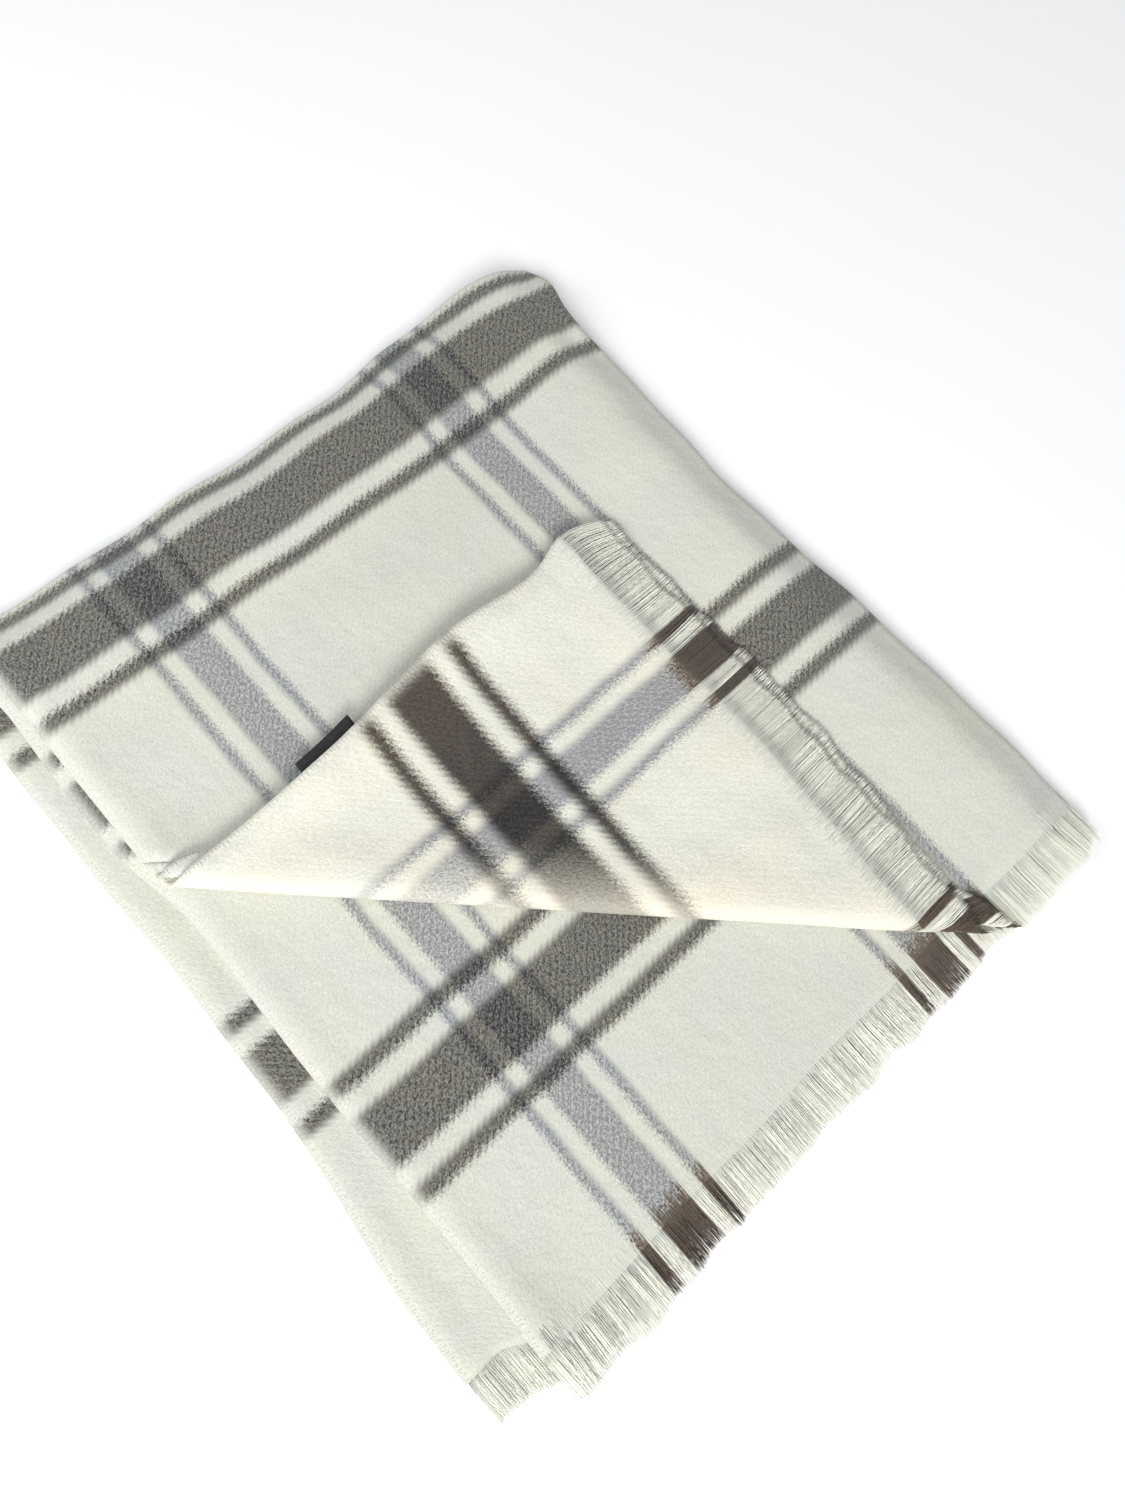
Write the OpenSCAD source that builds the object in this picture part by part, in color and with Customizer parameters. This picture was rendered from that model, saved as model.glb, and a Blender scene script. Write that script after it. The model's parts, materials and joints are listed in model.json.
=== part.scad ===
// Camp blanket: a fringed plaid wool blanket folded in half both ways, with one corner turned back.
// Frame: +X runs from the length fold to the fringe, +Y from the free selvedges to the width fold,
// +Z up. The origin is at the centre of the bounding box, on the floor. Millimetres.
// Layers are counted from the top: layer 1 is the top one and layer 4 lies on the floor.

/* [Folded pack] */
// Length of the folded pack, fold to fringe tips
pack_length = 760; // [600:1:950]
// Width of the folded pack, including the bottom layer's projecting strip
pack_width = 657; // [520:1:820]
// Height that one layer takes up in the folded pack, cloth and air together
layer_loft = 6.5; // [5:0.5:9]
// How far the bottom layer's selvedge shows beyond the layers on top
bottom_step = 36; // [0:1:60]
// How far the third layer's selvedge shows beyond the top two
third_step = 4; // [0:1:20]
// Free gap between pieces that move against each other
leaf_gap = 0.4; // [0.3:0.1:1]

/* [Turned-back corner] */
// Distance along the selvedge from the corner of the cloth to the crease
corner_leg = 461; // [200:1:500]

/* [Fringe] */
// Length of the loose warp ends
fringe_length = 40; // [20:1:60]
// Thickness of the fringe
fringe_thickness = 3; // [2:0.5:5]
// Spacing of the bunched warp ends
tassel_pitch = 6; // [4:0.5:12]
// Width of one bunch
tassel_width = 4.6; // [2:0.1:8]

/* [Selvedge stitching] */
// Spacing of the whip stitches
stitch_pitch = 24; // [10:1:40]
// Radius of the sewing thread
thread_radius = 0.5; // [0.3:0.1:1]
// Half of the angle that one stitch wraps round the edge
stitch_half_angle = 50; // [30:1:52]

/* [Label] */
// Length of the woven label along the selvedge
label_length = 57; // [30:1:80]
// How far the label stands out past the selvedge
label_out = 12; // [4:1:20]
// How far the label runs in under its stitching
label_in = 16; // [8:1:25]
// Thickness of the folded label
label_thickness = 1; // [0.6:0.1:1.4]
// Distance from the cloth's corner to the middle of the label
label_centre = 278; // [60:1:380]

/* [Hidden] */
$fn = 48;
woven_end = pack_length / 2 - fringe_length;
fold_start = -pack_length / 2 + layer_loft;
bottom_edge = 2 * thread_radius - pack_width / 2;
third_edge = bottom_edge + bottom_step - third_step;
top_edge = bottom_edge + bottom_step;
leaf_axis_z = 2 * layer_loft + leaf_gap / 2;
spine_radius = leaf_axis_z;
leaf_axis_y = pack_width / 2 - spine_radius;
swing_radius = spine_radius + 0.3;
upper_base_z = 2 * layer_loft + leaf_gap;
upper_top_z = upper_base_z + 2 * layer_loft;
crease_axis_z = upper_top_z + leaf_gap / 2;
crease_x = woven_end - corner_leg;
crease_run = corner_leg * sqrt(2);
cusp_trim = 5;
fringe_margin = 8;
edge_radius = layer_loft / 2;
clip = 1200;
label_x = woven_end - label_centre;
stitch_height = 0.6;
roll_take_up = PI * 1.5 * layer_loft / 2;
stitch_clearance = 60;

// Rod on the leaf hinge axis, along X
module leaf_rod(radius) {
    translate([-clip / 2, leaf_axis_y, leaf_axis_z])
        rotate([0, 90, 0])
            cylinder(r = radius, h = clip);
}

// Places children so that their local X runs along the crease and local Y points at the corner
module on_crease() {
    translate([crease_x, top_edge, crease_axis_z])
        rotate([0, 0, 45])
            mirror([0, 1, 0])
                children();
}

// Rod on the crease axis
module crease_rod(radius, start, end) {
    translate([crease_x, top_edge, crease_axis_z])
        rotate([0, 0, 45])
            translate([start, 0, 0])
                rotate([0, 90, 0])
                    cylinder(r = radius, h = end - start);
}

// Everything on the corner's side of the crease, less a margin on this side
module corner_side(margin) {
    on_crease()
        translate([-clip / 2, -margin, -clip / 4])
            cube([2 * clip, clip, clip / 2]);
}

// Everything on the pack's side of the crease, less a margin on the corner's side
module pack_side(margin) {
    on_crease()
        translate([-clip / 2, margin - clip, -clip / 4])
            cube([2 * clip, clip, clip / 2]);
}

// One full layer of cloth with a rounded selvedge
module layer_blank(edge_y, base_z, end_y) {
    translate([fold_start, edge_y + edge_radius, base_z])
        cube([woven_end - fold_start, end_y - edge_y - edge_radius, layer_loft]);
    translate([fold_start, edge_y + edge_radius, base_z + edge_radius])
        rotate([0, 90, 0])
            cylinder(r = edge_radius, h = woven_end - fold_start);
}

// A layer of the lower leaf, fitted against the fold's round spine
module lower_layer(edge_y, base_z) {
    difference() {
        layer_blank(edge_y, base_z, leaf_axis_y - cusp_trim);
        leaf_rod(spine_radius);
    }
}

// A layer of the upper leaf, clear of the spine it swings round and cut at the crease
module upper_layer(base_z) {
    difference() {
        layer_blank(top_edge, base_z, leaf_axis_y - cusp_trim);
        leaf_rod(swing_radius);
        corner_side(cusp_trim);
        crease_rod(spine_radius, -clip / 4, clip);
    }
}

// Turns what is drawn flat over the crease, onto the top of the pack, less the cloth in the roll
module turned_over(margin) {
    translate([crease_x, top_edge, crease_axis_z])
        rotate(a = 180, v = [1, 1, 0])
            translate([-crease_x, -top_edge, -crease_axis_z])
                difference() {
                    translate([-roll_take_up / sqrt(2), roll_take_up / sqrt(2), 0])
                        children();
                    pack_side(margin);
                    crease_rod(swing_radius, -clip / 4, clip);
                }
}

// Half round joining two layers at the length fold
module length_fold(edge_y, end_y, axis_z) {
    difference() {
        translate([fold_start, edge_y, axis_z])
            rotate([-90, 0, 0])
                cylinder(r = layer_loft, h = end_y - edge_y);
        translate([fold_start, edge_y - 1, axis_z - 2 * layer_loft])
            cube([4 * layer_loft, end_y - edge_y + 2, 4 * layer_loft]);
    }
}

// A comb of bunched warp ends along Y
module fringe_row(start_y, end_y, mid_z) {
    count = floor((end_y - start_y) / tassel_pitch);
    band = 2;
    outline = concat([[0, 0]],
        [for (i = [0 : count - 1]) each let (y = i * tassel_pitch,
            tip = fringe_length - 1.5 + 1.5 * cos(i * 97)) [
            [band, y],
            [tip - 4, y],
            [tip, y + tassel_width * 0.35],
            [tip, y + tassel_width * 0.65],
            [tip - 4, y + tassel_width],
            [band, y + tassel_width]]],
        [[0, (count - 1) * tassel_pitch + tassel_width]]);
    translate([woven_end, start_y, mid_z - fringe_thickness / 2])
        linear_extrude(height = fringe_thickness)
            polygon(outline);
}

// Whip stitches wrapped round one selvedge
module whip_stitches(start_x, end_x, edge_y, mid_z, shift) {
    count = floor((end_x - start_x - shift) / stitch_pitch);
    for (i = [0 : count])
        translate([start_x + shift + i * stitch_pitch, edge_y + edge_radius, mid_z])
            rotate([0, 90, 0])
                rotate([0, 0, -90 - stitch_half_angle])
                    rotate_extrude(angle = 2 * stitch_half_angle)
                        translate([edge_radius + thread_radius, 0])
                            circle(r = thread_radius, $fn = 24);
}

module panel_layer_1() {
    color([0.90, 0.90, 0.84])
        upper_layer(upper_base_z + layer_loft);
}

module panel_layer_2() {
    color([0.86, 0.86, 0.80])
        upper_layer(upper_base_z);
}

module panel_layer_3() {
    color([0.88, 0.88, 0.82])
        lower_layer(third_edge, layer_loft);
}

module panel_layer_4() {
    color([0.84, 0.84, 0.78])
        lower_layer(bottom_edge, 0);
}

module width_fold() {
    color([0.82, 0.82, 0.76])
        translate([fold_start, leaf_axis_y, leaf_axis_z])
            rotate([0, 90, 0])
                cylinder(r = spine_radius, h = woven_end - fold_start);
}

module length_fold_upper() {
    color([0.83, 0.83, 0.77])
        length_fold(top_edge + edge_radius, leaf_axis_y - swing_radius, upper_base_z + layer_loft);
}

module length_fold_lower() {
    color([0.81, 0.81, 0.75])
        length_fold(third_edge + edge_radius, leaf_axis_y - spine_radius, layer_loft);
}

module corner_crease() {
    color([0.87, 0.87, 0.81])
        crease_rod(spine_radius, spine_radius, crease_run - spine_radius);
}

module corner_layer_1() {
    color([0.89, 0.89, 0.83])
        turned_over(cusp_trim)
            difference() {
                layer_blank(top_edge, upper_base_z + layer_loft, leaf_axis_y - cusp_trim);
                label_pocket();
            }
}

module corner_layer_2() {
    color([0.91, 0.91, 0.86])
        turned_over(cusp_trim)
            layer_blank(top_edge, upper_base_z, leaf_axis_y - cusp_trim);
}

// Recess that the label and its stitches lie in
module label_pocket() {
    translate([label_x - label_length / 2, top_edge - 1,
            upper_top_z - label_thickness - stitch_height])
        cube([label_length, label_in + 1, layer_loft]);
}

module fringe_layer_1() {
    color([0.55, 0.49, 0.43])
        upper_fringe(upper_base_z + 1.5 * layer_loft);
}

module fringe_layer_2() {
    color([0.52, 0.46, 0.40])
        upper_fringe(upper_base_z + 0.5 * layer_loft);
}

// Fringe left on the upper leaf beyond the crease
module upper_fringe(mid_z) {
    difference() {
        fringe_row(top_edge + corner_leg + fringe_margin, leaf_axis_y - swing_radius, mid_z);
        corner_side(fringe_margin);
    }
}

// Fringe of the corner, up to where its woven edge reaches the roll
module corner_fringe(mid_z) {
    end_y = top_edge + corner_leg - (fringe_margin + roll_take_up) * sqrt(2);
    turned_over(fringe_margin)
        fringe_row(top_edge + edge_radius, end_y, mid_z);
}

module fringe_layer_3() {
    color([0.54, 0.48, 0.42])
        fringe_row(third_edge + edge_radius, leaf_axis_y + spine_radius * 0.8, 1.5 * layer_loft);
}

module fringe_layer_4() {
    color([0.50, 0.44, 0.38])
        fringe_row(bottom_edge + edge_radius, leaf_axis_y + spine_radius * 0.5, 0.5 * layer_loft);
}

module corner_fringe_1() {
    color([0.53, 0.47, 0.41])
        corner_fringe(upper_base_z + 1.5 * layer_loft);
}

module corner_fringe_2() {
    color([0.56, 0.50, 0.44])
        corner_fringe(upper_base_z + 0.5 * layer_loft);
}

module selvedge_stitches_upper() {
    color([0.78, 0.78, 0.76]) {
        whip_stitches(fold_start + 6, crease_x - 30, top_edge,
            upper_base_z + 1.5 * layer_loft, 0);
        whip_stitches(fold_start + 6, crease_x - 30, top_edge,
            upper_base_z + 0.5 * layer_loft, stitch_pitch / 2);
    }
}

module selvedge_stitches_lower() {
    color([0.76, 0.76, 0.74]) {
        whip_stitches(fold_start + 6, woven_end - 6, third_edge, 1.5 * layer_loft, 0);
        whip_stitches(fold_start + 6, woven_end - 6, bottom_edge, 0.5 * layer_loft,
            stitch_pitch / 2);
    }
}

module selvedge_stitches_corner() {
    color([0.80, 0.80, 0.78])
        turned_over(cusp_trim) {
            whip_stitches(crease_x + stitch_clearance, label_x - label_length / 2 - 4, top_edge,
                upper_base_z + 1.5 * layer_loft, 0);
            whip_stitches(label_x + label_length / 2 + 4, woven_end - 6, top_edge,
                upper_base_z + 1.5 * layer_loft, 0);
            whip_stitches(crease_x + stitch_clearance, woven_end - 6, top_edge,
                upper_base_z + 0.5 * layer_loft, stitch_pitch / 2);
        }
}

module label() {
    color([0.10, 0.10, 0.11])
        turned_over(cusp_trim)
            translate([label_x - label_length / 2, top_edge - label_out,
                    upper_top_z - label_thickness - stitch_height])
                cube([label_length, label_out + label_in, label_thickness]);
}

module label_stitches() {
    color([0.20, 0.20, 0.22])
        turned_over(cusp_trim)
            for (i = [0 : 8])
                translate([label_x - label_length / 2 + 2 + i * 5.9, top_edge + label_in - 4,
                        upper_top_z - stitch_height])
                    cube([3.6, 1, stitch_height - 0.1]);
}

panel_layer_1();
panel_layer_2();
panel_layer_3();
panel_layer_4();
width_fold();
length_fold_upper();
length_fold_lower();
corner_crease();
corner_layer_1();
corner_layer_2();
fringe_layer_1();
fringe_layer_2();
fringe_layer_3();
fringe_layer_4();
corner_fringe_1();
corner_fringe_2();
selvedge_stitches_upper();
selvedge_stitches_lower();
selvedge_stitches_corner();
label();
label_stitches();
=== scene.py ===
"""Camp blanket: a fringed plaid wool blanket, folded in half both ways, with a corner turned back.

The cloth is one sheet with coordinates (u, v) in metres. u runs from the first fringed end to the
second one and v from the upper leaf's selvedge to the lower leaf's. The cloth, its fringe, stitches
and label are all laid out in (u, v) and carried through the same folds, so each stays on the cloth.
"""

import json
import math

import bpy
import numpy as np
from mathutils import Matrix, Vector


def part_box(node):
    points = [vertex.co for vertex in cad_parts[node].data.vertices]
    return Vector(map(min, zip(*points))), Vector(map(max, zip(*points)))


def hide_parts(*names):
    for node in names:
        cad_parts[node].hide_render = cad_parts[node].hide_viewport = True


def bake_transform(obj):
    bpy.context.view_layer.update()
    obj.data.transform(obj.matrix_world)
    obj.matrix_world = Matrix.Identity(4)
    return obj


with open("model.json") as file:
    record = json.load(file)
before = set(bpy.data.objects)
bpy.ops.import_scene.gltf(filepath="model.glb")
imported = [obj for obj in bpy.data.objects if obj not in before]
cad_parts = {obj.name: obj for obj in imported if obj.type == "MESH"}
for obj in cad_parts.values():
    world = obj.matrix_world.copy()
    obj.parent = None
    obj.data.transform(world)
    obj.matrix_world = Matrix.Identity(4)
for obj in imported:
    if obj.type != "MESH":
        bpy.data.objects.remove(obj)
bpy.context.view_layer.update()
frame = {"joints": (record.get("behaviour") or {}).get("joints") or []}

# ---------------------------------------------------------------- sizes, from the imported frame
panel_low, panel_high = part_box("panel_layer_1")
WOVEN_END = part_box("panel_layer_3")[1].x
FOLD_X = panel_low.x
TOP_EDGE = panel_low.y
THIRD_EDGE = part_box("panel_layer_3")[0].y
BOTTOM_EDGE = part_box("panel_layer_4")[0].y
LOFT = panel_high.z - panel_low.z
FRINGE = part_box("fringe_layer_4")[1].x - WOVEN_END
JOINT = {joint["name"]: joint["pos_m"] for joint in frame["joints"]}
LEAF_Y, LEAF_Z = JOINT["leaf_fold"][1:]
CREASE_C = JOINT["corner_fold"][0] - JOINT["corner_fold"][1]
CREASE_Z = JOINT["corner_fold"][2]

# HALF and SPINE are the radii of the length fold and the width fold. RUN and REACH are the flat
# cloth before them, and END_INSET is how far the second woven end lies in from the first.
HALF = LOFT / 2
SPINE = panel_low.z - LEAF_Z
END_INSET = 0.010
RUN = WOVEN_END - FOLD_X
REACH = LEAF_Y - TOP_EDGE
LENGTH = 2 * RUN + math.pi * HALF - END_INSET
WIDTH = REACH + math.pi * SPINE + LEAF_Y - BOTTOM_EDGE
OUTER_ROLL = CREASE_Z - (LEAF_Z + SPINE - HALF)
CORNER_LEG = WOVEN_END - TOP_EDGE - CREASE_C

# The label sits on the turned corner, so its place on the cloth is found back round the roll
label_low, label_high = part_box("label")
ROLL_SHIFT = math.pi * 0.75 * LOFT / math.sqrt(2)
LABEL_U = WOVEN_END - ((label_low.y + label_high.y) / 2 + CREASE_C + ROLL_SHIFT)
LABEL_LENGTH = label_high.y - label_low.y
LABEL_OUT, LABEL_IN = 0.011, 0.016
LABEL_CLOTH = 0.0009

# The cloth's thickness, nap included, and its mesh. The corner's two sheets are cut from the
# rest just past the crease, along the diagonals of the mesh.
CLOTH = 0.0040
STEP = 0.008
CORNER_STEP = 0.004
SEAM_A = STEP * math.ceil((CORNER_LEG + STEP) / STEP)
SEAM_B = STEP * math.ceil((CORNER_LEG - END_INSET + STEP) / STEP)
TOLERANCE = 1e-6
UPWARD = np.array([0.0, 0.0, 1.0])

# The plaid: centres of the bands, and the half widths of a band's wide stripe and of the narrow
# ones at the offset to each side
WEFT_BANDS = (0.282, 0.655, LENGTH - 0.530, LENGTH - 0.187)
WARP_BANDS = (0.138, 0.453, WIDTH - 0.453, WIDTH - 0.138)
WEFT_WIDE, WEFT_NARROW, WEFT_OFFSET = 0.0240, 0.0070, 0.0480
WARP_WIDE, WARP_NARROW, WARP_OFFSET = 0.0165, 0.0045, 0.035
TWILL = 0.0072
# How far from the second end's corner the painted highlight along the crease reaches
CREASE_HIGHLIGHT_REACH = SEAM_B - 0.034

# Fringe and stitches
YARN_PITCH, YARN_RADIUS, YARN_TWIST = 0.00068, 0.00050, 0.0075
STITCH_PITCH, THREAD_RADIUS = 0.0034, 0.00028


# ---------------------------------------------------------------- the folds
def ease(t):
    """0 to 1 with no kink at either end."""
    t = np.clip(t, 0, 1)
    return t * t * (3 - 2 * t)


def rise(value, start, end):
    """0 to 1 as the value goes from start to end, either way along."""
    return ease((value - start) / (end - start))


def hump(value, centre, width):
    """1 at the centre, fading to 0 on both sides."""
    return np.exp(-(((value - centre) / width) ** 2))


def waves(x, y, size, seed):
    """Smooth unevenness, mostly from -1 to 1, whose features are about that size."""
    draw = np.random.default_rng(seed)
    total = 0
    wave_count = 7
    for _ in range(wave_count):
        heading = draw.uniform(0, 2 * math.pi)
        pitch = size * draw.uniform(0.7, 1.6)
        phase = draw.uniform(0, 2 * math.pi)
        along = x * math.cos(heading) + y * math.sin(heading)
        total = total + np.sin(2 * math.pi * along / pitch + phase)
    return total / 4


def double(u, v):
    """The middle of the cloth, folded in half both ways."""
    first = np.clip((u - RUN) / HALF, 0, math.pi)
    second_run = np.maximum(u - RUN - math.pi * HALF, 0)
    side = HALF * np.cos(first)
    x = WOVEN_END - np.minimum(u, RUN) - HALF * np.sin(first) + second_run
    turn = np.clip((v - REACH) / SPINE, 0, math.pi)
    below = np.maximum(v - REACH - math.pi * SPINE, 0)
    y = TOP_EDGE + np.minimum(v, REACH) + (SPINE + side) * np.sin(turn) - below
    z = LEAF_Z + (SPINE + side) * np.cos(turn)

    # The lower leaf's two layers don't lie quite one on the other at their selvedges: the third
    # comes out by a share of the step between them, and the fourth swings out at the open end
    inner = (1 - np.cos(first)) / 2
    step = THIRD_EDGE - BOTTOM_EDGE
    third = step * (0.72 + 0.28 * rise(x, -0.17, -0.07)) * rise(x, FOLD_X, FOLD_X + 0.07)
    fourth = -0.018 * rise(x, 0.06, 0.26)
    fade = np.clip((0.60 - (WIDTH - v)) / 0.47, 0, 1)
    y = y + np.where(below > 0, fade * (inner * third + (1 - inner) * fourth), 0)
    return x, y, z


def past_crease(x, y):
    """How far a place lies past the crease, towards the corner."""
    return ((x - y) - CREASE_C) / math.sqrt(2)


# The turned corner reaches this much further than its cloth, to end where it does in the photo
FLAP_STRETCH = 1.045


def turn_corner(x, y, z, v):
    """What lies past the crease on the upper leaf, rolled over onto the top."""
    past = past_crease(x, y)
    along = x + y
    roll = np.maximum(CREASE_Z - z, 0.001)
    turn = np.clip(past / roll, 0, math.pi)
    beyond = np.maximum(past - math.pi * roll, 0)
    slack = math.pi * (OUTER_ROLL - roll) * ease(beyond / 0.05)
    lying = FLAP_STRETCH * np.maximum(beyond - slack, 0)
    across = np.minimum(past, 0) + roll * np.sin(turn) - lying
    upper = (v < REACH) & (past > 0)
    spread = across * math.sqrt(2) + CREASE_C
    return (
        np.where(upper, (along + spread) / 2, x),
        np.where(upper, (along - spread) / 2, y),
        np.where(upper, CREASE_Z - roll * np.cos(turn), z),
    )


# How much plumper the layers are near a fold, as a share of their height
PLUMPNESS = 0.58


def crown(inward):
    """Extra plumpness at that distance in from a fold's outside: most a little way in."""
    return PLUMPNESS * rise(inward, 0.15, 0.04) * (0.05 + 0.95 * rise(inward, 0, 0.044))


def settled_height(x, y, flap, edge):
    """How the layers' heights change: a share of the height, and metres added to it."""
    rolled_edge = hump(y, TOP_EDGE + 0.026, 0.018)
    thin_edge = rise(y, TOP_EDGE + 0.016, TOP_EDGE - 0.002)
    thin_end = rise(x, WOVEN_END - 0.10, WOVEN_END + 0.02)
    crease_ridge = hump(x - y, CREASE_C - 0.012, 0.035)
    dip_by_tip = hump(x, -0.150, 0.030) * rise(y, 0.18, 0.08) * (1 - flap)
    share = 0.86 + 0.035 * waves(x, y, 0.16, 3) + 0.02 * waves(x, y, 0.055, 4)
    share = share + np.maximum(crown(x - FOLD_X + HALF), crown(LEAF_Y + SPINE + HALF - y))
    share = share + 0.06 * rolled_edge - 0.12 * thin_edge - 0.10 * thin_end
    share = share + 0.10 * crease_ridge - 0.11 * dip_by_tip
    selvedge_bead = 0.0024 * hump(edge, 0.013, 0.008)
    return share, selvedge_bead


def settle(x, y, z, flap, edge):
    """The soft unevenness of real cloth: plump folds, thin edges, wandering outlines.

    flap is 1 on the turned corner and 0 off it, and edge is the distance in from a selvedge.
    Places and amounts are in metres in the part's frame, matched to the photo.
    """
    share, added = settled_height(x, y, flap, edge)
    new_z = z * share + added

    # The length fold and the width fold draw in, and round off where they meet
    drawn_in = -0.015 * hump(y, 0.2235, 0.11) - 0.003 * waves(y, 0 * y, 0.13, 11)
    new_x = x + rise(x, FOLD_X + 0.15, FOLD_X) * drawn_in
    drawn_in = -0.009 * hump(x, -0.06, 0.13) + 0.010 * rise(x, -0.31, -0.36)
    drawn_in = drawn_in + 0.0015 * waves(x, 0 * x, 0.09, 12)
    new_y = y + rise(y, LEAF_Y - 0.12, LEAF_Y) * drawn_in
    from_corner = np.maximum(x - FOLD_X + HALF, 0) + np.maximum(LEAF_Y + 0.02 - y, 0)
    rounding = 0.007 * np.exp(-from_corner / 0.018)
    new_x = new_x + rounding
    new_y = new_y - rounding

    # The open end and side wander, and the bottom layer's end lies further in
    open_end = rise(x, WOVEN_END - 0.10, WOVEN_END + 0.02)
    open_side = rise(y, TOP_EDGE + 0.06, TOP_EDGE - 0.02)
    bottom = rise(z, LEAF_Z - SPINE + 0.001, LEAF_Z - SPINE - 0.001)
    new_x = new_x + open_end * 0.003 * waves(y, 0 * y, 0.16, 13)
    new_y = new_y + open_side * 0.0022 * waves(x, z * 4, 0.14, 14)
    new_x = new_x - open_end * bottom * (0.012 + 0.014 * rise(y, -0.288, -0.318))

    # The third layer has slid out past its end, and its free corner stands off the bottom one
    third = (1 - bottom) * rise(z, LEAF_Z, LEAF_Z - 0.004)
    free_corner = hump(x, WOVEN_END - 0.02, 0.05) * hump(y, THIRD_EDGE, 0.035)
    new_x = new_x + 0.009 * third * rise(x, -0.05, 0.20)
    new_z = new_z + 0.009 * third * free_corner

    # The turned corner's tip is tugged outwards and its free edges lift a little
    near_edge = rise(x, -0.048, -0.138)
    tug = -0.027 * hump(y, 0.153, 0.040) - 0.024 * hump(y, 0.005, 0.10)
    bow = 0.008 * hump(x, 0.12, 0.12) * rise(y, 0.04, 0.10)
    lift = 0.012 * near_edge * rise(y, 0.20, 0.08)
    lift = lift + 0.005 * hump(x, -0.115, 0.045) * hump(y, 0.17, 0.045)
    lift = lift + 0.0016 * waves(x, y, 0.10, 15)
    return new_x + flap * tug * near_edge, new_y + flap * bow, new_z + flap * lift


def middle(u, v):
    """Where the middle of the cloth's thickness lies in the folded blanket."""
    x, y, z = double(u, v)
    flap = np.where(v < REACH, rise(past_crease(x, y), 0.02, 0.10), 0)
    x, y, z = turn_corner(x, y, z, v)
    return np.stack(settle(x, y, z, flap, np.minimum(v, WIDTH - v)), axis=-1)


def unit(vectors):
    return vectors / np.maximum(np.linalg.norm(vectors, axis=-1, keepdims=True), 1e-12)


def place(u, v, out=None):
    """Points in the middle of the cloth, or out from it on the side that is outside when folded."""
    u, v = np.broadcast_arrays(np.asarray(u, float), np.asarray(v, float))
    point = middle(u, v)
    if out is None:
        return point
    nudge = 0.0004
    along_u = middle(u + nudge, v) - middle(u - nudge, v)
    along_v = middle(u, v + nudge) - middle(u, v - nudge)
    normal = unit(np.cross(along_v, along_u))
    return point + np.broadcast_to(out, u.shape)[..., None] * normal


def leaf_weight(u, v):
    """0 on the lower leaf, 1 on the upper one."""
    return 1 - rise(v, REACH - 0.02, REACH + math.pi * SPINE + 0.02)


def corner_weight(u, v):
    """0 on the upper leaf, 1 on the turned corner."""
    x, y, z = double(u, v)
    roll = np.maximum(CREASE_Z - z, 0.001)
    return rise(past_crease(x, y), -0.004, math.pi * roll + 0.004)


# ---------------------------------------------------------------- meshes
def build(name, points, faces, cloth, thickness=None):
    """A smooth mesh whose vertices keep their cloth coordinates in the attribute "cloth"."""
    mesh = bpy.data.meshes.new(name)
    mesh.from_pydata(points.tolist(), [], faces)
    mesh.update()
    attribute = mesh.attributes.new("cloth", "FLOAT_VECTOR", "POINT")
    attribute.data.foreach_set("vector", cloth.astype(np.float32).ravel())
    mesh.polygons.foreach_set("use_smooth", [True] * len(mesh.polygons))
    piece = bpy.data.objects.new(name, mesh)
    bpy.context.scene.collection.objects.link(piece)
    if thickness:
        solid = piece.modifiers.new("thickness", "SOLIDIFY")
        solid.thickness = thickness
        solid.offset = 0
    return piece


def bend_with(piece, corner, cloth):
    """Bakes a piece's transform and weighs it between the fold's two bodies; the weights go unused.
    """
    lower, upper, weight = "lower_leaf", "upper_leaf", leaf_weight
    if corner:
        lower, upper, weight = "upper_leaf", "turned_corner", corner_weight
    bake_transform(piece)
    values = np.broadcast_to(weight(cloth[:, 0], cloth[:, 1]), len(cloth))


def lattice(us, vs, keep=None):
    """Quads over a grid of cloth points, with triangles where the cut runs across a cell."""
    grid_u, grid_v = np.meshgrid(us, vs, indexing="ij")
    inside = keep(grid_u, grid_v) if keep else np.full(grid_u.shape, True)
    number = -np.ones(grid_u.shape, int)
    number[inside] = np.arange(inside.sum())
    faces = []
    for i in range(len(us) - 1):
        for j in range(len(vs) - 1):
            ring = (number[i, j], number[i + 1, j], number[i + 1, j + 1], number[i, j + 1])
            ring = [int(n) for n in ring if n >= 0]
            if len(ring) >= 3:
                faces.append(ring)
    return grid_u[inside], grid_v[inside], faces


def cloth_points(u, v, across=0.0):
    return np.stack([u, v, np.broadcast_to(across, u.shape)], axis=-1)


def mesh_lines(start, bend, total, fold_points):
    """Where the mesh's lines lie along one way of the cloth: even, and closer round a fold."""
    margin = 0.002
    fold = np.linspace(start - margin, start + bend + margin, fold_points)
    before = np.arange(0, start - 2 * margin, STEP)
    after = total - np.arange(0, total - fold[-1] - margin, STEP)[::-1]
    return np.concatenate([before, fold, after])


def make_body():
    """The whole blanket less the turned-back corner."""
    us = mesh_lines(RUN, math.pi * HALF, LENGTH, 13)
    vs = mesh_lines(REACH, math.pi * SPINE, WIDTH, 15)

    def keep(u, v):
        first_corner = u + v < SEAM_A - TOLERANCE
        second_corner = LENGTH - u + v < SEAM_B - TOLERANCE
        return ~(first_corner | second_corner)

    u, v, faces = lattice(us, vs, keep)
    piece = build("blanket_body", place(u, v), faces, cloth_points(u, v), CLOTH)
    bend_with(piece, False, cloth_points(u, v))
    return piece


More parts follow.
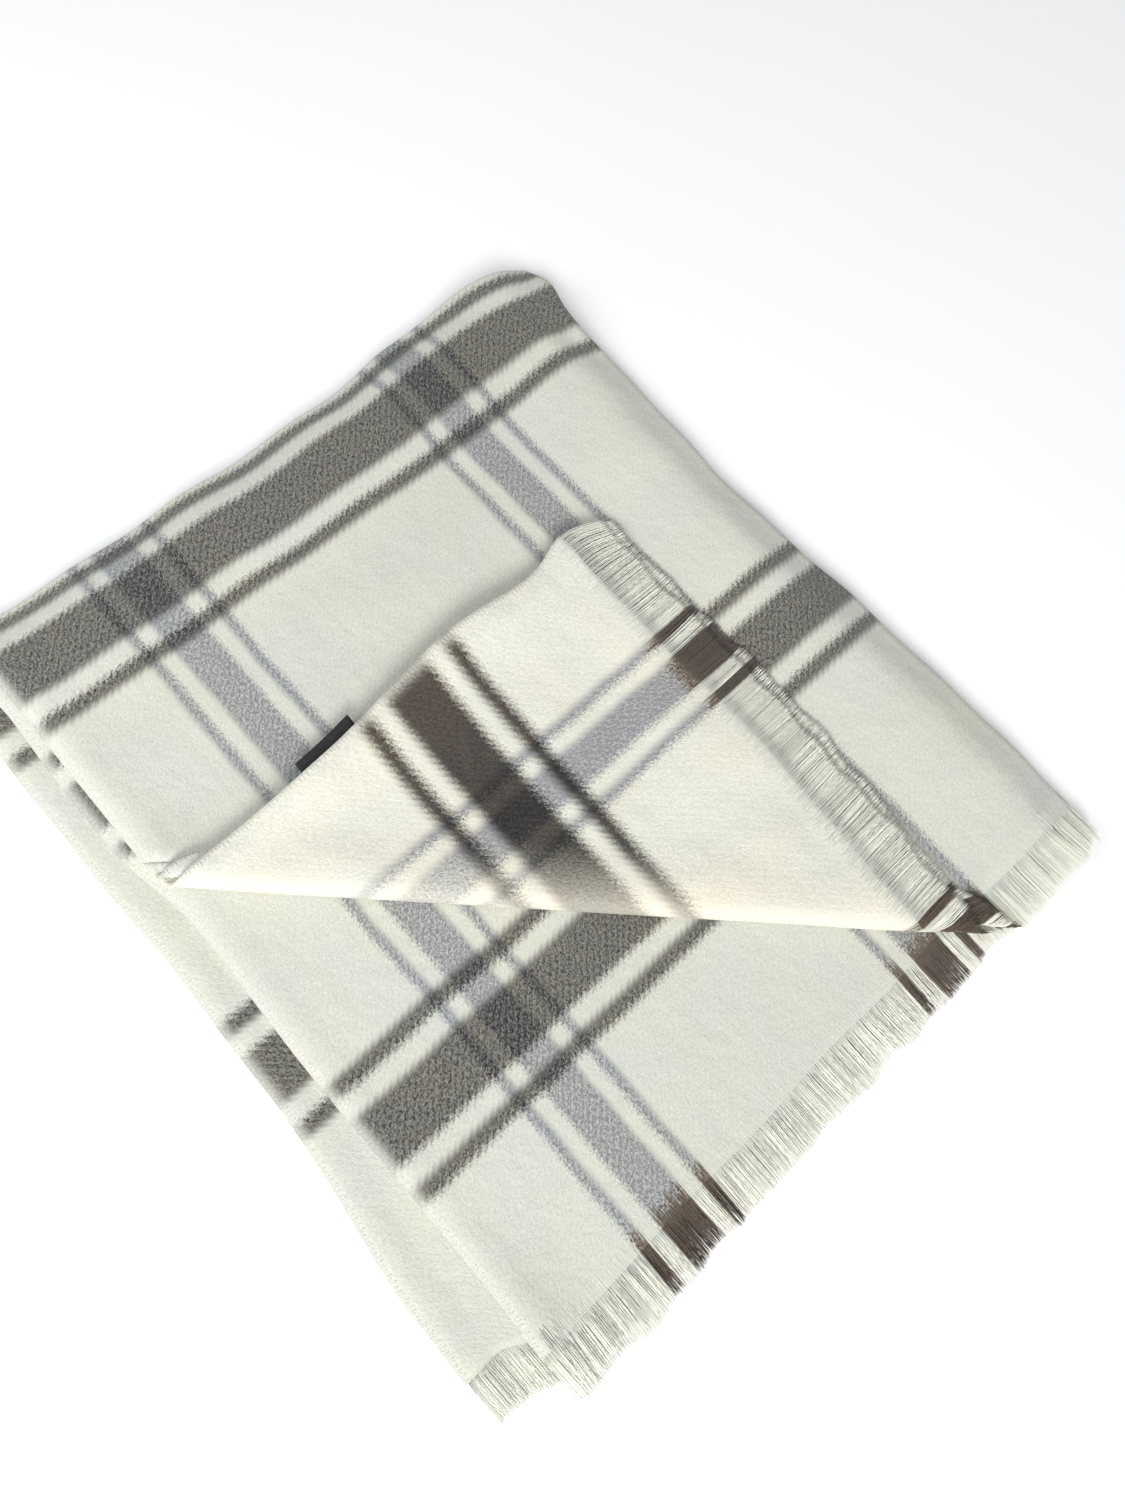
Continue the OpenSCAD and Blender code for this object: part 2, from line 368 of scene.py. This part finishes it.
def make_corner(name, end, seam):
    """One sheet of the turned-back corner. end is 0 at the first fringed end, 1 at the second."""
    steps = np.linspace(0, seam, round(seam / CORNER_STEP) + 1)
    u, v, faces = lattice(steps, steps, lambda a, b: a + b < seam + TOLERANCE)
    if end:
        u = LENGTH - u
        faces = [ring[::-1] for ring in faces]
    piece = build(name, place(u, v), faces, cloth_points(u, v), CLOTH)
    bend_with(piece, True, cloth_points(u, v))
    return piece


def strands(name, u, v, out, radius, sides, reference, yarn_v=None):
    """Thin round strands. Each row of u, v and out is one strand's centreline on the cloth.

    reference sets how each strand's sides are turned, and yarn_v is the cloth coordinate that
    its colour goes by, where that isn't v.
    """
    count, points = u.shape
    centre = place(u, v, out)
    ahead = unit(np.gradient(centre, axis=1))
    sideways = unit(np.cross(ahead, reference))
    normal = np.cross(sideways, ahead)
    girth = np.broadcast_to(radius, (count, points))[:, :, None]
    angles = [2 * math.pi * (k + 0.5) / sides for k in range(sides)]
    rings = [centre + girth * (math.cos(a) * sideways + math.sin(a) * normal) for a in angles]
    vertices = np.stack(rings, axis=2).reshape(-1, 3)

    first = (np.arange(count) * points * sides)[:, None, None]
    ring = (np.arange(points - 1) * sides)[None, :, None]
    corner = np.arange(sides)[None, None, :]
    following = (corner + 1) % sides
    start = first + ring
    after = start + sides
    quads = np.stack(
        [start + corner, start + following, after + following, after + corner], axis=-1
    )
    near = first[:, 0] + np.arange(sides)[::-1]
    far = first[:, 0] + (points - 1) * sides + np.arange(sides)
    faces = quads.reshape(-1, 4).tolist() + near.tolist() + far.tolist()
    across = v if yarn_v is None else np.broadcast_to(yarn_v, u.shape)
    cloth = np.repeat(cloth_points(u, across).reshape(-1, 3), sides, axis=0)
    return build(name, vertices, faces, cloth), cloth


def on_corner(end, v):
    """Whether a fringe yarn is on the turned corner."""
    leg = CORNER_LEG if end == 0 else CORNER_LEG - END_INSET
    return v < leg + 0.002


def make_fringe(name, end, corner):
    """Loose warp of one woven end: the part on the turned corner, or the rest."""
    draw = np.random.default_rng(40 + 2 * end + corner)
    yarn = np.arange(0.0010, WIDTH - 0.0005, YARN_PITCH)
    yarn = yarn[on_corner(end, yarn) == bool(corner)]
    count = len(yarn)
    yarn = yarn + draw.normal(0, 0.0002, count)

    # Each yarn starts a little way in on the cloth, under its nap, and runs out past the end
    along = np.linspace(0, 1, 13)[None, :]
    root = draw.uniform(0.002, 0.018, (count, 1))
    uneven = 0.0034 * waves(yarn, 0 * yarn, 0.05, 50 + end)
    tip = FRINGE + uneven + draw.normal(0, 0.0007, count)
    outward = tip[:, None] * along - root * (1 - along)
    u = -outward if end == 0 else LENGTH + outward

    # Out there it leans with its neighbours, curls, and sinks to the middle of the cloth
    loose = np.clip(outward / FRINGE, 0, 1)
    phase = draw.uniform(0, 2 * math.pi, (count, 1))
    lean = draw.normal(0, 0.007, (count, 1))
    lean = lean + 0.045 * waves(yarn, 0 * yarn, 0.05, 60 + end)[:, None]
    turns = 2 * math.pi * outward / YARN_TWIST
    curl = 0.0003 * loose
    v = yarn[:, None] + lean * FRINGE * loose**1.5 + curl * np.sin(turns + phase)
    surface = CLOTH / 2 - 0.0001
    sink = ease(outward / 0.012)
    out = surface * (1 - sink) + sink * draw.normal(0, 0.0006, (count, 1))
    out = out + curl * np.cos(turns + phase * 1.7)
    girth = YARN_RADIUS * np.where((along > 0.96) | (along < 0.03), 0.35, 1.0)
    piece, cloth = strands(name, u, v, out, girth, 3, UPWARD, yarn[:, None])
    bend_with(piece, corner, cloth)
    return piece


def make_whip_stitches(name, corner):
    """Overcast stitches round both selvedges: round the edge, with a leg on each face."""
    hook = np.linspace(-1.0, 1.0, 9)[None, :]
    round_share, slant, leg_scale = 0.6, 0.0007, 0.011
    bend = np.clip(hook / round_share, -1, 1) * math.pi / 2
    leg = np.maximum(np.abs(hook) - round_share, 0) * leg_scale
    grip = CLOTH / 2 + 0.0002
    draw = np.random.default_rng(70 + corner)
    rows = []
    for far_side in ((0,) if corner else (0, 1)):
        at = np.arange(0.004, LENGTH - 0.004, STITCH_PITCH)
        turned = (at < CORNER_LEG) | (LENGTH - at < CORNER_LEG - END_INSET)
        wanted = turned == bool(corner) if far_side == 0 else np.full(len(at), True)
        at = at[wanted][:, None]
        at = at + draw.normal(0, 0.0006, at.shape)
        reach = leg * draw.uniform(0.35, 1.0, at.shape)
        inward = reach + grip * (0.8 - np.cos(bend))
        v = np.broadcast_to(WIDTH - inward if far_side else inward, (len(at), hook.size))
        out = np.broadcast_to(grip * np.sin(bend), v.shape)
        rows.append((at + slant * hook, v, out))
    u, v, out = (np.concatenate(column) for column in zip(*rows))
    toward = place(u + 0.001, v, out) - place(u, v, out)
    piece, cloth = strands(name, u, v, out, THREAD_RADIUS, 4, toward)
    bend_with(piece, corner, cloth)
    return piece


def make_label():
    """A ribbon sewn flat on the face that the turned corner hides, its loop past the selvedge."""
    us = np.linspace(LABEL_U - LABEL_LENGTH / 2, LABEL_U + LABEL_LENGTH / 2, 20)
    vs = np.linspace(-LABEL_OUT, LABEL_IN, 10)
    u, v, faces = lattice(us, vs)
    out = CLOTH / 2 + 0.0007
    piece = build("woven_label", place(u, v, out), faces, cloth_points(u, v), LABEL_CLOTH)
    bend_with(piece, True, cloth_points(u, v))
    return piece


def make_label_stitches():
    """A running stitch along the label's sewn edge."""
    row, half_row, stitch = 0.0125, 0.026, 0.0028
    starts = np.linspace(LABEL_U - half_row, LABEL_U + half_row, 14)[:, None]
    step = np.linspace(0, 1, 5)[None, :]
    u = starts + stitch * (step - 0.5)
    v = row + 0 * u
    out = CLOTH / 2 + 0.0010 + 0.0006 * np.sin(math.pi * step) + 0 * u
    piece, cloth = strands("woven_label_stitches", u, v, out, THREAD_RADIUS, 4, UPWARD)
    bend_with(piece, True, cloth)
    return piece


# ---------------------------------------------------------------- materials
class Nodes:
    """Short spellings for the shader nodes used here."""

    def __init__(self, name):
        self.material = bpy.data.materials.new(name)
        self.material.use_nodes = True
        self.tree = self.material.node_tree
        self.shader = self.tree.nodes["Principled BSDF"]

    def math(self, operation, *values):
        node = self.tree.nodes.new("ShaderNodeMath")
        node.operation = operation
        for socket, value in zip(node.inputs, values):
            self.feed(socket, value)
        return node.outputs[0]

    def plus(self, first, second):
        return self.math("ADD", first, second)

    def minus(self, first, second):
        return self.math("SUBTRACT", first, second)

    def times(self, first, second):
        return self.math("MULTIPLY", first, second)

    def feed(self, socket, value):
        """A socket's input: another node's output or a constant."""
        if isinstance(value, bpy.types.NodeSocket):
            self.tree.links.new(value, socket)
        else:
            socket.default_value = value

    def vector(self, x, y, z=0.0):
        node = self.tree.nodes.new("ShaderNodeCombineXYZ")
        for socket, value in zip(node.inputs, (x, y, z)):
            self.feed(socket, value)
        return node.outputs[0]

    def cloth(self):
        """The cloth coordinates u and v."""
        attribute = self.tree.nodes.new("ShaderNodeAttribute")
        attribute.attribute_name = "cloth"
        split = self.tree.nodes.new("ShaderNodeSeparateXYZ")
        self.tree.links.new(attribute.outputs["Vector"], split.inputs[0])
        return split.outputs[0], split.outputs[1]

    def fine(self, vector, across, down):
        """A vector drawn out by its own number in each direction, for grain finer one way."""
        first, second = vector
        return self.vector(self.times(first, across), self.times(second, down))

    def noise(self, vector, scale, detail=2.0, roughness=0.5):
        node = self.tree.nodes.new("ShaderNodeTexNoise")
        self.feed(node.inputs["Vector"], vector)
        node.inputs["Scale"].default_value = scale
        node.inputs["Detail"].default_value = detail
        node.inputs["Roughness"].default_value = roughness
        return node.outputs["Fac"]

    def ramp(self, value, low, high, to_low=0.0, to_high=1.0):
        node = self.tree.nodes.new("ShaderNodeMapRange")
        node.interpolation_type = "SMOOTHSTEP"
        self.feed(node.inputs["Value"], value)
        for socket, number in zip(node.inputs[1:5], (low, high, to_low, to_high)):
            socket.default_value = number
        return node.outputs[0]

    def mix(self, factor, first, second, blend="MIX"):
        node = self.tree.nodes.new("ShaderNodeMix")
        node.data_type = "RGBA"
        node.blend_type = blend
        self.feed(node.inputs[0], factor)
        self.feed(node.inputs[6], first)
        self.feed(node.inputs[7], second)
        return node.outputs[2]

    def bump(self, height, strength, distance, below=None):
        node = self.tree.nodes.new("ShaderNodeBump")
        node.inputs["Strength"].default_value = strength
        node.inputs["Distance"].default_value = distance
        self.feed(node.inputs["Height"], height)
        if below is not None:
            self.tree.links.new(below, node.inputs["Normal"])
        return node.outputs[0]

    def stripes(self, position, bands, wide, narrow, offset, blur):
        """1 in each band's wide stripe and its narrow stripe to each side, 0 elsewhere."""
        nearest = None
        for band in bands:
            away = self.math("ABSOLUTE", self.minus(position, band))
            nearest = away if nearest is None else self.math("MINIMUM", nearest, away)
        middle = self.ramp(nearest, wide + blur, wide - blur)
        edge = self.math("ABSOLUTE", self.minus(nearest, offset))
        side = self.ramp(edge, narrow + blur, narrow - blur)
        return self.math("MAXIMUM", middle, side)


# Colours. The face of the cloth that shows on the turned corner is the brighter one
CREAM = (0.69, 0.68, 0.585, 1)
COOL_CREAM = (0.66, 0.67, 0.605, 1)
REVERSE_CREAM = (0.82, 0.79, 0.67, 1)
REVERSE_COOL_CREAM = (0.79, 0.785, 0.70, 1)
# Painted highlight colour for the band along the crease
CREASE_HIGHLIGHT_CREAM = (0.88, 0.81, 0.67, 1)
WEFT_TINT = (0.041, 0.035, 0.036, 1)
WARM_WEFT_TINT = (0.070, 0.050, 0.042, 1)
WARP_TINT = (0.36, 0.37, 0.455, 1)
BROWN = (0.100, 0.072, 0.052, 1)
LIGHT_BROWN = (0.165, 0.122, 0.090, 1)
# Painted light: the loose fringe's cream, brighter than the same yarn on the cloth
LIT_LOOSE_CREAM = (0.96, 0.94, 0.84, 1)
COOL_LIT_LOOSE_CREAM = (0.90, 0.90, 0.81, 1)
THREAD_CREAM = (0.80, 0.78, 0.68, 1)
COOL_THREAD_CREAM = (0.66, 0.66, 0.60, 1)
RIBBON_BLACK = (0.005, 0.005, 0.006, 1)
WORN_RIBBON_BLACK = (0.020, 0.020, 0.023, 1)
LABEL_THREAD_BLACK = (0.03, 0.03, 0.034, 1)
WORN_LABEL_THREAD_BLACK = (0.09, 0.09, 0.10, 1)


def wool(name, cream, cool_cream, strength=1.0, nap=1.0, crease=None):
    """Brushed twill: a weft and a warp plaid under a short combed nap.

    strength deepens the plaid and nap combs its edges further. crease is how far from the
    second end's corner the cloth is folded; along there the plaid is painted paler and warmer,
    a painted highlight on the crease's roll.
    """
    n = Nodes(name)
    u, v = n.cloth()
    with_twill = n.plus(u, v)
    over_twill = n.minus(u, v)
    flat = n.vector(u, v)
    streak = n.noise(n.fine((over_twill, with_twill), 470.0, 210.0), 1.0, 4.0, 0.68)
    fleck = n.noise(flat, 620.0, 3.0, 0.7)
    cloud = n.noise(flat, 13.0, 2.0)
    patch = n.noise(flat, 60.0, 3.0)
    turns = n.times(over_twill, 2 * math.pi / TWILL)
    ridge = n.math("SINE", n.plus(turns, n.times(patch, 7.0)))

    # The plaid's edges: pulled about by the nap, the twill and a slow sway, in metres
    grain = n.times(n.minus(streak, 0.5), nap)
    fuzz = n.times(n.minus(fleck, 0.5), 0.009 * nap)
    sway = n.times(n.minus(cloud, 0.5), 0.006)
    shared = n.plus(fuzz, sway)
    weft_at = n.plus(n.plus(u, n.times(ridge, 0.0009)), n.plus(n.times(grain, 0.008), shared))
    warp_at = n.plus(n.plus(v, n.times(grain, 0.007)), shared)
    weft = n.stripes(weft_at, WEFT_BANDS, WEFT_WIDE, WEFT_NARROW, WEFT_OFFSET, 0.0046 * nap)
    warp = n.stripes(warp_at, WARP_BANDS, WARP_WIDE, WARP_NARROW, WARP_OFFSET, 0.0038 * nap)

    # How deep each is dyed: flecked, and painted paler at the selvedges, a painted highlight on
    # their rounded edges
    mottle = n.plus(n.times(streak, 0.55), n.times(fleck, 0.45))
    lined = n.plus(mottle, n.times(ridge, 0.022))
    to_side = n.math("MINIMUM", v, n.minus(WIDTH, v))
    wear_and_edge_highlight = n.ramp(n.plus(to_side, n.times(grain, 0.012)), 0.0, 0.012, 0.35, 1.0)
    weft_depth = n.times(weft, n.ramp(lined, 0.37, 0.62, 1.0, 0.65 * strength))
    weft_depth = n.times(weft_depth, wear_and_edge_highlight)
    warp_depth = n.times(warp, n.ramp(lined, 0.38, 0.60, 1.25, 0.45 * strength))
    warm = n.ramp(patch, 0.40, 0.62)
    # Painted highlight: along the crease the plaid is painted paler and the cream warmer, standing
    # in for light on the crease's roll; the weft's tint is also warmer near the selvedges
    if crease:
        from_corner = n.plus(v, n.minus(LENGTH, u))
        crease_highlight = n.ramp(n.plus(from_corner, n.times(grain, 0.05)), crease - 0.085, crease)
        kept = n.minus(1.0, n.times(crease_highlight, 0.50))
        weft_depth = n.times(weft_depth, kept)
        warp_depth = n.times(warp_depth, kept)
        cream = n.mix(crease_highlight, cream, CREASE_HIGHLIGHT_CREAM)
        by_selvedge = n.ramp(to_side, 0.09, 0.03)
        warm = n.math("MAXIMUM", warm, n.math("MAXIMUM", crease_highlight, by_selvedge))

    # The warp's stripes turn brown where the weft thins out at the woven ends
    to_end = n.math("MINIMUM", u, n.minus(LENGTH, u))
    bare = n.ramp(n.plus(to_end, n.times(grain, 0.05)), 0.020, 0.0)
    base = n.mix(n.ramp(cloud, 0.30, 0.70), cream, cool_cream)
    shade = n.ramp(mottle, 0.36, 0.64, 0.87, 1.09)
    base = n.mix(1.0, base, n.vector(shade, shade, shade), "MULTIPLY")
    weft_tint = n.mix(warm, WEFT_TINT, WARM_WEFT_TINT)
    warp_tint = n.mix(bare, WARP_TINT, LIGHT_BROWN)
    base = n.mix(weft_depth, base, n.mix(1.0, base, weft_tint, "MULTIPLY"))
    base = n.mix(warp_depth, base, n.mix(1.0, base, warp_tint, "MULTIPLY"))
    n.feed(n.shader.inputs["Base Color"], base)

    height = n.plus(mottle, n.times(ridge, 0.045))
    rough = n.bump(height, 0.55, 0.0016)
    n.feed(n.shader.inputs["Normal"], n.bump(patch, 0.45, 0.0030, rough))
    n.shader.inputs["Roughness"].default_value = 0.95
    n.shader.inputs["Specular IOR Level"].default_value = 0.15
    n.shader.inputs["Sheen Weight"].default_value = 0.25
    n.shader.inputs["Sheen Roughness"].default_value = 0.6
    return n.material


def fringe_yarn():
    """Loose warp: cream, and brown where the warp's dark stripes run out."""
    n = Nodes("fringe_yarn")
    u, v = n.cloth()
    dark = n.stripes(v, WARP_BANDS, WARP_WIDE, WARP_NARROW, WARP_OFFSET, 0.0004)
    twist = n.noise(n.fine((u, v), 500.0, 900.0), 1.0, 3.0)
    to_end = n.math("MINIMUM", u, n.minus(LENGTH, u))
    # Painted light: past the woven end the yarn is painted brighter than on the cloth, standing in
    # for light among the loose strands
    loose = n.mix(n.ramp(twist, 0.35, 0.65), LIT_LOOSE_CREAM, COOL_LIT_LOOSE_CREAM)
    pale = n.mix(n.ramp(to_end, -0.001, -0.014), COOL_CREAM, loose)
    deep = n.mix(n.ramp(twist, 0.35, 0.65), BROWN, LIGHT_BROWN)
    n.feed(n.shader.inputs["Base Color"], n.mix(dark, pale, deep))
    n.feed(n.shader.inputs["Normal"], n.bump(twist, 0.5, 0.0006))
    n.shader.inputs["Roughness"].default_value = 0.85
    n.shader.inputs["Specular IOR Level"].default_value = 0.25
    n.shader.inputs["Sheen Weight"].default_value = 0.30
    return n.material


def selvedge_thread():
    """Soft two-ply overcasting thread."""
    n = Nodes("selvedge_thread")
    u, v = n.cloth()
    ply = n.noise(n.fine((u, v), 1500.0, 700.0), 1.0, 2.0)
    colour = n.mix(n.ramp(ply, 0.35, 0.65), THREAD_CREAM, COOL_THREAD_CREAM)
    n.feed(n.shader.inputs["Base Color"], colour)
    n.feed(n.shader.inputs["Normal"], n.bump(ply, 0.4, 0.0004))
    n.shader.inputs["Roughness"].default_value = 0.8
    return n.material


def ribbon(name, dark, light):
    """Close ribbon weave."""
    n = Nodes(name)
    u, v = n.cloth()
    warp_pitch, weft_pitch = 0.0007, 0.0009
    warp = n.math("SINE", n.times(u, 2 * math.pi / warp_pitch))
    weft = n.math("SINE", n.times(v, 2 * math.pi / weft_pitch))
    weave = n.times(warp, weft)
    wear_and_edge_highlight = n.noise(n.vector(u, v), 300.0, 3.0)
    blend = n.ramp(n.plus(n.times(weave, 0.2), wear_and_edge_highlight), 0.3, 0.9)
    n.feed(n.shader.inputs["Base Color"], n.mix(blend, dark, light))
    n.feed(n.shader.inputs["Normal"], n.bump(weave, 0.4, 0.0003))
    n.shader.inputs["Roughness"].default_value = 0.55
    n.shader.inputs["Sheen Weight"].default_value = 0.2
    return n.material


def dress(piece, material):
    """Gives a piece its material."""
    piece.data.materials.clear()
    piece.data.materials.append(material)


# ---------------------------------------------------------------- the blanket
wool_material = wool("napped_wool", CREAM, COOL_CREAM)
reverse_material = wool(
    "napped_wool_reverse",
    REVERSE_CREAM,
    REVERSE_COOL_CREAM,
    strength=1.45,
    nap=1.4,
    crease=CREASE_HIGHLIGHT_REACH,
)
yarn_material = fringe_yarn()
thread_material = selvedge_thread()
ribbon_material = ribbon("label_ribbon", RIBBON_BLACK, WORN_RIBBON_BLACK)
label_thread_material = ribbon("label_thread", LABEL_THREAD_BLACK, WORN_LABEL_THREAD_BLACK)

body = make_body()
corner_outer = make_corner("turned_corner_face", end=1, seam=SEAM_B)
corner_inner = make_corner("turned_corner_lining", end=0, seam=SEAM_A)
fringes = [
    make_fringe("fringe_first_end", end=0, corner=0),
    make_fringe("fringe_first_end_corner", end=0, corner=1),
    make_fringe("fringe_second_end", end=1, corner=0),
    make_fringe("fringe_second_end_corner", end=1, corner=1),
]
leaf_stitches = make_whip_stitches("selvedge_stitches", corner=0)
corner_stitches = make_whip_stitches("selvedge_stitches_corner_rows", corner=1)
label = make_label()
label_stitches = make_label_stitches()
for piece in (body, corner_inner):
    dress(piece, wool_material)
dress(corner_outer, reverse_material)
for piece in fringes:
    dress(piece, yarn_material)
for piece in (leaf_stitches, corner_stitches):
    dress(piece, thread_material)
dress(label, ribbon_material)
dress(label_stitches, label_thread_material)

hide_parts("panel_layer_1", "panel_layer_2", "panel_layer_3", "panel_layer_4")
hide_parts("width_fold", "length_fold_upper", "length_fold_lower")
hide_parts("corner_layer_2", "corner_crease")
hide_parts("corner_layer_1")
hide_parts("fringe_layer_1", "fringe_layer_4")
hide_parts("corner_fringe_1")
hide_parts("fringe_layer_2", "fringe_layer_3")
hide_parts("corner_fringe_2")
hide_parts("selvedge_stitches_upper", "selvedge_stitches_lower")
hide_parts("selvedge_stitches_corner")
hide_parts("label")
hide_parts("label_stitches")


# ---------------------------------------------------------------- floor, light and camera
def make_floor():
    """A white floor, a little self-lit so that it burns out as in the photo."""
    mesh = bpy.data.meshes.new("floor")
    half = 3.0
    corners = [(-half, -half, 0), (half, -half, 0), (half, half, 0), (-half, half, 0)]
    mesh.from_pydata(corners, [], [(0, 1, 2, 3)])
    floor = bpy.data.objects.new("floor", mesh)
    bpy.context.scene.collection.objects.link(floor)
    n = Nodes("pale_floor")
    place_at = n.tree.nodes.new("ShaderNodeTexCoord").outputs["Object"]
    grain = n.noise(place_at, 3.0, 4.0)
    colour = n.mix(grain, (0.93, 0.93, 0.93, 1), (0.96, 0.96, 0.96, 1))
    n.feed(n.shader.inputs["Base Color"], colour)
    n.shader.inputs["Roughness"].default_value = 0.9
    n.shader.inputs["Emission Color"].default_value = (1, 1, 1, 1)
    n.shader.inputs["Emission Strength"].default_value = 0.12
    mesh.materials.append(n.material)


def make_light(name, spot, aim, size, power, colour):
    data = bpy.data.lights.new(name, "AREA")
    data.shape = "DISK"
    data.size = size
    data.energy = power
    data.color = colour
    light = bpy.data.objects.new(name, data)
    light.location = spot
    direction = Vector(aim) - light.location
    light.rotation_euler = direction.to_track_quat("-Z", "Y").to_euler()
    bpy.context.scene.collection.objects.link(light)


def make_camera():
    """The photo's camera: it looks steeply down along +y and -x, turned about its own axis."""
    azimuth, elevation, roll = (math.radians(angle) for angle in (31.2, 71.4, 17.2))
    aim = np.array([0.015, 0.0195, 0.020])
    distance = 0.842
    look = np.array(
        [
            -math.sin(azimuth) * math.cos(elevation),
            math.cos(azimuth) * math.cos(elevation),
            -math.sin(elevation),
        ]
    )
    right = np.array([math.cos(azimuth), math.sin(azimuth), 0])
    up = np.cross(right, look)
    right, up = (
        math.cos(roll) * right + math.sin(roll) * up,
        math.cos(roll) * up - math.sin(roll) * right,
    )
    spot = aim - distance * look
    data = bpy.data.cameras.new("camera")
    data.sensor_fit = "VERTICAL"
    data.sensor_height = 36
    data.sensor_width = 27
    data.lens = 24
    camera = bpy.data.objects.new("camera", data)
    rows = [[right[i], up[i], -look[i], spot[i]] for i in range(3)] + [[0, 0, 0, 1]]
    camera.matrix_world = Matrix(rows)
    bpy.context.scene.collection.objects.link(camera)
    bpy.context.scene.camera = camera


make_floor()
make_light("key", (3.1, -2.9, 3.5), (0, 0, 0), 2.2, 222, (1.0, 0.99, 0.955))
make_light("fill", (-0.45, -1.4, 1.3), (0, 0, 0), 1.0, 15, (0.95, 0.98, 1.0))
world = bpy.data.worlds.new("studio")
world.use_nodes = True
world.node_tree.nodes["Background"].inputs["Color"].default_value = (0.94, 0.97, 1.0, 1)
world.node_tree.nodes["Background"].inputs["Strength"].default_value = 0.42
bpy.context.scene.world = world
bpy.context.scene.view_settings.view_transform = "Standard"
make_camera()
